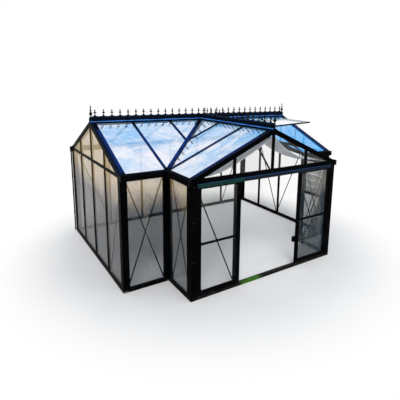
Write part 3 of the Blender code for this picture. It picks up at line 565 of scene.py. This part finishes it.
def pane_loops(node, out):
    """The outlines of a frame's panes on its outer plane, each an ordered list of points."""
    mesh = bmesh.new()
    mesh.from_mesh(NODES[node].data)
    bmesh.ops.remove_doubles(mesh, verts=mesh.verts, dist=2e-5)
    face_n = max(v.co.dot(out) for v in mesh.verts)
    links = {}
    for edge in mesh.edges:
        if len(edge.link_faces) != 2 or any(abs(v.co.dot(out) - face_n) > 1e-4 for v in edge.verts):
            continue
        depths = [face_n - min(v.co.dot(out) for v in face.verts) for face in edge.link_faces]
        if min(depths) < 1e-4 and abs(max(depths) - CAP) < 1e-3:
            a, b = (v.index for v in edge.verts)
            links.setdefault(a, []).append(b)
            links.setdefault(b, []).append(a)
    spots = {v.index: v.co.copy() for v in mesh.verts}
    mesh.free()
    loops = []
    left = set(links)
    while left:
        first = min(left)
        loop = [first]
        left.discard(first)
        here = first
        while True:
            ahead = [n for n in links[here] if n in left]
            if not ahead:
                break
            here = ahead[0]
            left.discard(here)
            loop.append(here)
        if len(loop) > 2:
            loops.append([spots[i] for i in loop])
    return loops


def shrunk(loop, out, inset):
    """A flat convex loop moved inwards by a distance."""
    middle = sum(loop, Vector()) / len(loop)
    moved = []
    count = len(loop)
    for i in range(count):
        back = (loop[i] - loop[i - 1]).normalized()
        ahead = (loop[(i + 1) % count] - loop[i]).normalized()
        normal_a = out.cross(back).normalized()
        normal_b = out.cross(ahead).normalized()
        if normal_a.dot(middle - loop[i]) < 0:
            normal_a = -normal_a
        if normal_b.dot(middle - loop[i]) < 0:
            normal_b = -normal_b
        bend = normal_a + normal_b
        moved.append(loop[i] + bend * (inset / max(0.15, bend.dot(normal_a))))
    return moved


def straightened(loop):
    """The loop without points that lie on a straight run."""
    kept = []
    for i, point in enumerate(loop):
        back = point - loop[i - 1]
        ahead = loop[(i + 1) % len(loop)] - point
        apart = back.length > 1e-5 and ahead.length > 1e-5
        if apart and back.normalized().dot(ahead.normalized()) < 0.99999:
            kept.append(point)
    return kept


# The seal's section: its inset from a pane's edge, and its depth under the face of the frame.
SEAL = ((0.0004, 0.0048), (0.0030, 0.0062), (0.0062, 0.0090), (0.0062, 0.0099), (0.0004, 0.0099))


def gaskets(node, out, body="house", material=None):
    """A wedge of rubber round every pane, between the bar and the glass."""
    out = Vector(out).normalized()
    parts = Parts()
    for loop in pane_loops(node, out):
        loop = straightened(loop)
        if len(loop) < 3:
            continue
        rings = []
        for inset, depth in SEAL:
            ring = shrunk(loop, out, inset)
            rings.append([point - out * depth for point in ring])
        parts.rings(rings, closed=True)
    if parts.points:
        parts.finish(node + "_gasket", material or RUBBER, body)


# The frames with panes, and the way that each looks.
WALLS = {
    "left_wall": (-1, 0, 0),
    "right_wall": (1, 0, 0),
    "rear_wall": (0, 1, 0),
    "front_left_wall": (0, -1, 0),
    "front_right_wall": (0, -1, 0),
    "porch_left_wall": (-1, 0, 0),
    "porch_right_wall": (1, 0, 0),
    "front_left_panel": (0, -1, 0),
    "front_right_panel": (0, -1, 0),
    "front_gable": (0, -1, 0),
    "rear_roof": (0, CLIMB, RUN),
    "front_left_roof": (0, -CLIMB, RUN),
    "front_right_roof": (0, -CLIMB, RUN),
    "porch_left_roof": (-CLIMB, 0, RUN),
    "porch_right_roof": (CLIMB, 0, RUN),
}


# Fittings


def studs(name, spots, size=1.0, body="house", material=None):
    """Domed bolt heads, each given by a point on a face and the way that face looks."""
    parts = Parts()
    for spot, out in spots:
        parts.turned(spot, out, [(radius * size, height * size) for radius, height in STUD], 8)
    parts.finish(name, material or BOLT, body, smooth=True)


def frame_bolts():
    """The bolts that hold bars, corners and rails together, on the faces that look outdoors."""
    spots = []
    for side in (-1, 1):
        for along in (CORNER_IN, BAY, 2 * BAY, 3 * BAY, REAR - CORNER_IN):
            for z in (SILL_BOLT, EAVE - 0.028):
                spots.append((at(side * HALF_LONG, along, z), (side, 0, 0)))
        for across in (HALF_WING + INNER_IN, HALF_LONG - CORNER_IN):
            for z in (SILL_BOLT, HEAD_BOLT):
                spots.append((at(side * across, 0, z), (0, -1, 0)))
        for along in (-INNER_IN, FRONT + 0.111):
            for z in (SILL_BOLT, HEAD_BOLT):
                spots.append((at(side * HALF_WING, along, z), (side, 0, 0)))
        for z in (SILL_BOLT, 0.60, 1.20, 1.72):
            spots.append((at(side * (HALF_WING - CORNER_IN), FRONT, z), (0, -1, 0)))
    for i in range(-3, 4):
        inner = min(abs(i) * BAY, HALF_LONG - CORNER_IN) * (1 if i > 0 else -1)
        spots.append((at(inner, REAR, SILL_BOLT), (0, 1, 0)))
        spots.append((at(inner, REAR, HEAD_BOLT), (0, 1, 0)))
    for i in (-1, 0, 1):
        spots.append((at(i * BAY, FRONT, EAVE - 0.032), (0, -1, 0)))
    studs("frame_bolts", spots)


def ridge_screws():
    """Screws through the flanges of both ridge caps."""
    spots = []
    across = 0.030
    z = APEX + 0.0072 - across * RISE / HALF_WING
    for i in range(12):
        x = -HALF_LONG + 0.12 + i * (2 * HALF_LONG - 0.24) / 11
        for side in (-1, 1):
            if side > 0 or abs(x) > 0.10:
                spots.append((at(x, MID + side * across, z), (0, side * CLIMB, RUN)))
    for i in range(6):
        y = FRONT + 0.10 + i * 0.375
        for side in (-1, 1):
            spots.append((at(side * across, y, z), (side * CLIMB, 0, RUN)))
    studs("ridge_screws", spots, 0.7)


def crest_beads():
    """The cast beads, buds and collars that round out every spike of the cresting."""
    parts = Parts()
    pitch = (2 * HALF_LONG - 2 * FIRST_SPIKE) / (SPIKES - 1)
    feet = [at(-HALF_LONG + FIRST_SPIKE + n * pitch, MID, RIDGE_TOP) for n in range(SPIKES)]
    reach = BAY + MID - FIRST_SPIKE - 0.041
    feet.extend(at(0, FRONT + FIRST_SPIKE + n * pitch, RIDGE_TOP) for n in range(int(reach / pitch) + 1))
    shape = [
        (0.0050, 0.225), (0.0085, 0.245), (0.0085, 0.265), (0.0050, 0.285), (0.0048, 0.475),
        (0.0085, 0.510), (0.0120, 0.560), (0.0085, 0.610), (0.0046, 0.640), (0.0050, 0.700),
        (0.0092, 0.780), (0.0070, 0.850), (0.0035, 0.930), (0.0006, 0.998),
    ]
    for foot in feet:
        parts.turned(foot, (0, 0, 1), [(radius, share * SPIKE_HIGH) for radius, share in shape], 8)
    parts.finish("crest_beads", CAST, smooth=True)


def extruded(parts, outline, origin, out, along, low, high):
    """A flat outline of (out, z) pairs carried from low to high on the way along."""
    out = Vector((*out, 0))
    along = Vector((*along, 0))
    rings = []
    for step in (low, high):
        rings.append([Vector(origin) + out * o + along * step + Vector((0, 0, z)) for o, z in outline])
    parts.rings(rings)


def gutter_fittings():
    """End caps and straps on the gutters."""
    low = GUTTER_LOW
    high = GUTTER_HIGH
    out = GUTTER_OUT
    cap = [
        (-0.001, low - 0.001), (out - 0.007, low - 0.001), (out, low + 0.007), (out + 0.001, low + 0.022),
        (out + 0.001, high + 0.0015), (-0.001, high + 0.0015),
    ]
    ends = Parts()
    extruded(ends, cap, at(-HALF_LONG - 2 * PIPE, REAR, 0), (0, 1), (-1, 0), 0.0002, 0.0032)
    extruded(ends, cap, at(HALF_LONG + 2 * PIPE, REAR, 0), (0, 1), (1, 0), 0.0002, 0.0032)
    for side in (-1, 1):
        extruded(ends, cap, at(side * HALF_LONG, 0, 0), (0, -1), (side, 0), 0.0002, 0.0032)
        extruded(ends, cap, at(side * HALF_WING, FRONT, 0), (side, 0), (0, -1), 0.0002, 0.0032)
    ends.finish("gutter_end_caps", PLASTIC)
    strap = [
        (0.004, low), (0.004, low - 0.0016), (out - 0.0072, low - 0.0016), (out - 0.0006, low + 0.0066),
        (out + 0.0016, low + 0.0216), (out + 0.0016, high + 0.0016), (out - 0.007, high + 0.0016),
        (out - 0.007, high), (out, high), (out, low + 0.022), (out - 0.002, low + 0.0073),
        (out - 0.008, low),
    ]
    straps = Parts()
    for x in (-2.0, -1.25, -0.5, 0.25, 1.0, 1.75):
        extruded(straps, strap, at(x, REAR, 0), (0, 1), (1, 0), 0.0, 0.022)
    for side in (-1, 1):
        for x in (1.66, 2.08):
            extruded(straps, strap, at(side * x, 0, 0), (0, -1), (side, 0), 0.0, 0.022)
        for y in (-0.22, -0.60):
            extruded(straps, strap, at(side * HALF_WING, y, 0), (side, 0), (0, -1), 0.0, 0.022)
    straps.finish("gutter_straps", GUTTER_PAINT)


def downpipe_fittings():
    """The outlet, two clips and the shoe of the rainwater pipe."""
    x = -HALF_LONG - FIT - PIPE
    y = REAR + GUTTER_OUT / 2
    parts = Parts()
    r = PIPE
    outlet = [(r + 0.004, 0.0), (r + 0.004, 0.016), (r + 0.0012, 0.030)]
    clip = [(r + 0.0004, 0.0), (r + 0.0022, 0.001), (r + 0.0022, 0.015), (r + 0.0004, 0.016)]
    shoe = [(r + 0.0026, 0.0), (r + 0.0022, 0.030), (r + 0.0004, 0.034)]
    parts.turned(at(x, y, GUTTER_LOW), (0, 0, -1), outlet, 20)
    for z in (0.42, 1.18):
        parts.turned(at(x, y, z), (0, 0, 1), clip, 20)
        corner = at(x, y, z)
        parts.block((corner.x + 0.006, REAR + ROW_Y, z), (corner.x + 0.030, corner.y - r * 0.6, z + 0.016))
    parts.turned(at(x, y, 0.022), (0, 0, 1), shoe, 20)
    parts.finish("downpipe_fittings", PLASTIC, smooth=False)


def lock_details():
    """Thumb turns, cylinder rings and screws on the two plain lock cases."""
    cylinder = [(0.0125, 0.0), (0.0125, 0.0025), (0.0085, 0.0040), (0.0080, 0.0060)]
    screw = [(0.0035, 0.0), (0.0032, 0.0010), (0.0012, 0.0014)]
    for side, node, body in ((-1, "door_left_lock", "left_leaf"), (1, "door_right_lock", "right_leaf")):
        low, high = (Vector(corner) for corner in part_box(node))
        tip = high.x if side < 0 else low.x
        middle = Vector((tip, high.y - 0.020, (low.z + high.z) / 2))
        away = Vector((-side, 0, 0))
        parts = Parts()
        parts.turned(middle, away, cylinder, 14)
        knob = middle + away * 0.006
        parts.block((min(knob.x, knob.x + away.x * 0.008), knob.y - 0.003, knob.z - 0.013),
                    (max(knob.x, knob.x + away.x * 0.008), knob.y + 0.003, knob.z + 0.013))
        for rise in (-0.036, 0.036):
            parts.turned(middle + Vector((0, 0, rise)), away, screw, 8)
        back = Vector(((low.x + high.x) / 2, high.y, middle.z))
        parts.turned(back, (0, 1, 0), [(0.0100, 0.0), (0.0100, 0.0018), (0.0060, 0.0024)], 14)
        parts.finish(node + "_turn", DARK_STEEL, body)
        rim = Parts()
        for z in (low.z + 0.004, high.z - 0.0065):
            rim.block((min(tip, tip + away.x * 0.0012), low.y + 0.010, z),
                      (max(tip, tip + away.x * 0.0012), high.y - 0.003, z + 0.0025), 0.0003)
        rim.finish(node + "_ribs", PLASTIC, body)


def leaf_screws():
    """Screws at the corners and the middle rail of both leaves."""
    for node, body in (("door_left", "left_leaf"), ("door_right", "right_leaf")):
        low, high = (Vector(corner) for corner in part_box(node))
        spots = []
        for x in (low.x + 0.014, low.x + 0.048, high.x - 0.048, high.x - 0.014):
            for z in (low.z + 0.036, high.z - 0.040):
                spots.append((Vector((x, low.y, z)), (0, -1, 0)))
        for x in (low.x + 0.031, high.x - 0.031):
            spots.append((Vector((x, low.y, EAVE * DOOR_BAR_AT)), (0, -1, 0)))
        studs(node + "_screws", spots, 0.55, body)


def vent_fittings():
    """Hinge barrels along the ridge, and the stay's bracket, foot and pegs."""
    barrel = [(0.0042, 0.0), (0.0052, 0.001), (0.0052, 0.019), (0.0042, 0.020)]
    low, high = (Vector(corner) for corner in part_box("vent"))
    parts = Parts()
    hinge = Vector((low.x + 0.004, 0, low.z + 0.020))
    for y in (high.y - 0.10, (low.y + high.y) / 2, low.y + 0.10):
        for step in (0.0, 0.021, 0.042):
            start = Vector((hinge.x, y + step - 0.031, hinge.z + 0.0055))
            parts.turned(start, (0, 1, 0), barrel, 10)
    foot, top = (Vector(corner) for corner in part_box("vent_stay"))
    y = (foot.y + top.y) / 2
    parts.block((foot.x - 0.012, y - 0.012, top.z - 0.004), (foot.x + 0.014, y + 0.012, top.z))
    parts.block((top.x - 0.014, y - 0.013, foot.z - 0.001), (top.x + 0.010, y + 0.013, foot.z + 0.003))
    for share in (0.30, 0.52, 0.74):
        peg = Vector((top.x + (foot.x - top.x) * share, y - 0.008, foot.z + (top.z - foot.z) * share))
        parts.turned(peg, (0, 1, 0), [(0.0022, 0.0), (0.0022, 0.016)], 8)
    parts.finish("vent_hinges", DARK_STEEL, smooth=False)


def louvre_fittings():
    """Blade clips, the link rod and its lever with a round knob, on the louvre's inner side."""
    low, high = (Vector(corner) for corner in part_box("louvre"))
    pitch = (high.z - low.z - 2 * LOUVRE_RIM) / BLADES
    parts = Parts()
    for i in range(BLADES):
        z = low.z + LOUVRE_RIM + pitch * (i + 0.5)
        for y in (low.y + 0.018, high.y - 0.030):
            parts.block((low.x + 0.006, y, z - 0.020), (low.x + 0.016, y + 0.012, z + 0.014))
    rod = low.y + 0.036
    link = [(0.003, 0.0), (0.003, BLADES * pitch - 0.08)]
    parts.turned(Vector((low.x + 0.002, rod, low.z + 0.05)), (0, 0, 1), link, 8)
    lever = Vector((low.x - 0.004, rod, low.z + 0.05 + pitch))
    down = Vector((-0.55, 0, -0.83))
    parts.turned(lever, down, [(0.0035, -0.012), (0.0035, 0.060)], 8)
    knob = [(0.004, 0.0), (0.009, 0.004), (0.010, 0.010), (0.007, 0.016), (0.002, 0.018)]
    parts.turned(lever + down.normalized() * 0.058, down, knob, 10)
    parts.finish("louvre_lever", PLASTIC, smooth=False)


def foot_plates():
    """Small zinc ground plates under the four corners of the main house."""
    parts = Parts()
    for side in (-1, 1):
        x = side * HALF_LONG
        for y, back in ((0.0, 1), (REAR, -1)):
            near = at(x, y, 0)
            x0, x1 = sorted((near.x + side * 0.005, near.x - side * 0.075))
            y0, y1 = sorted((near.y - back * 0.007, near.y + back * 0.002))
            parts.block((x0, y0, 0.0005), (x1, y1, 0.020), 0.0015)
    parts.finish("foot_plates", STEEL)


# Shade cloths


def along_path(path, share):
    """The point at a share of a path's length, with its corners eased."""
    steps = [math.dist(a, b) for a, b in zip(path, path[1:])]
    total = sum(steps)
    spots = []
    for shift in (-0.07, -0.035, 0.0, 0.035, 0.07):
        reach = min(max(share + shift * 4 * share * (1 - share), 0.0), 1.0) * total
        for i, step in enumerate(steps):
            if reach <= step or i == len(steps) - 1:
                t = reach / step
                a, b = path[i], path[i + 1]
                spots.append((a[0] + (b[0] - a[0]) * t, a[1] + (b[1] - a[1]) * t))
                break
            reach -= step
    return sum(p[0] for p in spots) / len(spots), sum(p[1] for p in spots) / len(spots)


def shade_cloth(name, node, path, long, drops, seed, flat):
    """Cloth slung along a path under the slope, with sagging edges, folds and a turned hem.

    The drops lower its rear corner at the ridge, its middle, and its front edge.
    """
    across = 72
    deep = 40
    front = FRONT + WALL + 0.003
    grid = []
    for j in range(deep + 1):
        v = j / deep
        row = []
        for i in range(across + 1):
            u = i / across
            x, z = along_path(path, u)
            free = max(0.0, math.sin(math.pi * u))
            folds = 0.55 * math.sin(v * 17.0 + 2.4 * u + seed)
            folds += 0.35 * math.sin(v * 31.0 - 3.0 * u + 2 * seed)
            ripple = noise.noise(Vector((u * 5.0, v * 3.2, seed)))
            slack = 0.012 * (0.25 + free) * folds + 0.010 * ripple * free
            z += slack + drops[0] * (1 - u) ** 2 * v + drops[1] * free * (4 * v * (1 - v))
            z += drops[2] * free ** 0.6 * (1 - 0.5 * v)
            y = front + v * long
            if j:
                y += 0.010 * free * noise.noise(Vector((u * 4.0, seed, 0.0)))
            row.append(at(x, y, z))
        grid.append(row)
    normals = []
    for j in range(deep + 1):
        row = []
        for i in range(across + 1):
            a = grid[j][min(i + 1, across)] - grid[j][max(i - 1, 0)]
            b = grid[min(j + 1, deep)][i] - grid[max(j - 1, 0)][i]
            n = a.cross(b).normalized()
            row.append(n if n.z > 0 else -n)
        normals.append(row)

    def half(i, j):
        """Half the thickness of the cloth at a point, more in the hem."""
        near = min(i, across - i) * flat[0] / across
        ends = min(j, deep - j) * flat[1] / deep
        return HEM_HALF if min(near, ends) < HEM_WIDE else CLOTH_HALF

    width = across + 1
    points = [grid[j][i] + normals[j][i] * half(i, j) for j in range(deep + 1) for i in range(width)]
    points.extend(grid[j][i] - normals[j][i] * half(i, j) for j in range(deep + 1) for i in range(width))
    flip = len(points) // 2
    faces = []
    for j in range(deep):
        for i in range(across):
            a = j * width + i
            quad = (a, a + 1, a + width + 1, a + width)
            faces.append(quad)
            faces.append(tuple(flip + k for k in reversed(quad)))
    edge = list(range(width))
    edge += [j * width + across for j in range(1, deep + 1)]
    edge += [deep * width + i for i in range(across - 1, -1, -1)]
    edge += [j * width for j in range(deep - 1, 0, -1)]
    for k, a in enumerate(edge):
        b = edge[(k + 1) % len(edge)]
        faces.append((b, a, flip + a, flip + b))
    cloth = piece(name, points, faces, WEAVE, smooth=True)
    mesh = bmesh.new()
    mesh.from_mesh(cloth.data)
    bmesh.ops.recalc_face_normals(mesh, faces=mesh.faces)
    mesh.to_mesh(cloth.data)
    mesh.free()
    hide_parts(node)
    return grid


def wire(parts, spots, radius):
    """A thin round wire through points."""
    rings = []
    for i, spot in enumerate(spots):
        way = (spots[min(i + 1, len(spots) - 1)] - spots[max(i - 1, 0)]).normalized()
        across = way.orthogonal().normalized()
        beside = way.cross(across)
        rings.append([
            spot + across * radius * math.cos(k * math.pi / 3) + beside * radius * math.sin(k * math.pi / 3)
            for k in range(6)
        ])
    parts.rings(rings)


def cloth_hooks(name, grid, side):
    """Wire hooks that carry the cloth's upper edge from the ridge and its lower edge from the eave."""
    parts = Parts()
    deep = len(grid) - 1
    for j in (2, deep // 2, deep - 2):
        top = grid[j][0]
        rail = Vector((side * 0.030, top.y, APEX - ROOF / RUN - 0.030 * RISE / HALF_WING))
        wire(parts, [top + Vector((0, 0, -0.006)), top + Vector((-side * 0.004, 0, 0.004)), rail], HOOK_WIRE)
        low = grid[j][-1]
        rail = Vector((side * (HALF_WING - WALL - 0.0005), low.y, EAVE - 0.062))
        wire(parts, [low + Vector((0, 0, -0.004)), low + Vector((side * 0.010, 0, 0.002)), rail], HOOK_WIRE)
        for spot in (top, low):
            parts.block(spot - Vector((0.008, 0.006, 0.004)), spot + Vector((0.008, 0.006, 0.004)), 0.001)
    parts.finish(name, STEEL, smooth=False)


# The cloths' paths, from beside the ridge down towards the eave, as (x, z) points.
LEFT_PATH = [(-0.037, 2.322), (-0.269, 2.206), (-0.841, 1.954), (-1.270, 1.842)]
RIGHT_PATH = [(0.044, 2.339), (0.281, 2.126), (0.700, 1.922), (1.258, 1.830)]

add_camera()
dress_nodes()
for node, out in WALLS.items():
    gaskets(node, out)
gaskets("door_left", (0, -1, 0), "left_leaf")
gaskets("door_right", (0, -1, 0), "right_leaf")
gaskets("vent", (-math.sin(VENT_TILT), 0, math.cos(VENT_TILT)), material=PALE_SEAL)
frame_bolts()
ridge_screws()
crest_beads()
gutter_fittings()
downpipe_fittings()
lock_details()
leaf_screws()
vent_fittings()
louvre_fittings()
foot_plates()
left = shade_cloth(
    "left_cloth", "left_shade_cloth", LEFT_PATH, 0.650, (-0.015, -0.010, -0.060), 0.6,
    (1.350, 0.665),
)
cloth_hooks("left_cloth_hooks", left, -1)
right = shade_cloth(
    "right_cloth", "right_shade_cloth", RIGHT_PATH, 0.410, (-0.075, -0.014, 0.0), 1.9,
    (1.360, 0.430),
)
cloth_hooks("right_cloth_hooks", right, 1)


# The floor, the light and the backdrop

FLOOR_HALF = 60


def studio():
    """A pale floor and an even light, both white wherever the camera, gloss or glass sees them far off."""
    floor = bpy.data.meshes.new("floor")
    h = FLOOR_HALF
    floor.from_pydata([(-h, -h, 0), (h, -h, 0), (h, h, 0), (-h, h, 0)], [], [(0, 1, 2, 3)])
    look = Look("pale_floor", 0.95, level=0.0)
    grain = look.span(look.noise(0.6, 3.0), 0.3, 0.7)
    look.put("Base Color", look.mix(grain, linear(244, 244, 244), linear(248, 248, 248)))
    away = look.node("ShaderNodeVectorMath", operation="LENGTH")
    look.feed(away.inputs[0], look.place)
    fade = look.span(away.outputs["Value"], 2.5, 4.0)
    seen = look.node("ShaderNodeLightPath")
    rays = look.sum("MAXIMUM", seen.outputs["Is Camera Ray"], seen.outputs["Is Glossy Ray"])
    rays = look.sum("MAXIMUM", rays, seen.outputs["Is Transmission Ray"])
    white = look.node("ShaderNodeEmission")
    blend = look.node("ShaderNodeMixShader")
    look.feed(blend.inputs[0], look.sum("MULTIPLY", fade, rays))
    look.feed(blend.inputs[1], look.shader.outputs[0])
    look.feed(blend.inputs[2], white.outputs[0])
    look.feed(look.tree.nodes["Material Output"].inputs["Surface"], blend.outputs[0])
    floor.materials.append(look.material)
    made = bpy.data.objects.new("floor", floor)
    bpy.context.collection.objects.link(made)

    world = bpy.data.worlds.new("studio")
    world.use_nodes = True
    tree = world.node_tree
    dim = tree.nodes["Background"]
    dim.inputs["Color"].default_value = (0.93, 0.96, 1.0, 1.0)
    dim.inputs["Strength"].default_value = 0.62
    white = tree.nodes.new("ShaderNodeBackground")
    white.inputs["Color"].default_value = (1.0, 1.0, 1.0, 1.0)
    path = tree.nodes.new("ShaderNodeLightPath")
    either = tree.nodes.new("ShaderNodeMath")
    either.operation = "MAXIMUM"
    any_ray = tree.nodes.new("ShaderNodeMath")
    any_ray.operation = "MAXIMUM"
    mix = tree.nodes.new("ShaderNodeMixShader")
    tree.links.new(path.outputs["Is Camera Ray"], either.inputs[0])
    tree.links.new(path.outputs["Is Glossy Ray"], either.inputs[1])
    tree.links.new(either.outputs[0], any_ray.inputs[0])
    tree.links.new(path.outputs["Is Transmission Ray"], any_ray.inputs[1])
    tree.links.new(any_ray.outputs[0], mix.inputs[0])
    tree.links.new(dim.outputs[0], mix.inputs[1])
    tree.links.new(white.outputs[0], mix.inputs[2])
    tree.links.new(mix.outputs[0], tree.nodes["World Output"].inputs["Surface"])
    bpy.context.scene.world = world
    bpy.context.scene.cycles.transparent_max_bounces = PANES_DEEP

    for name, energy, angle, turn in (
        ("key", 1.25, 0.5, (math.radians(38), math.radians(-22), 0.0)),
        ("fill", 0.35, 1.2, (math.radians(48), math.radians(34), 0.0)),
    ):
        light = bpy.data.lights.new(name, "SUN")
        light.energy = energy
        light.angle = angle
        lamp = bpy.data.objects.new(name, light)
        lamp.rotation_euler = turn
        lamp.visible_glossy = False
        bpy.context.collection.objects.link(lamp)


studio()
bpy.context.scene.view_settings.view_transform = "Standard"
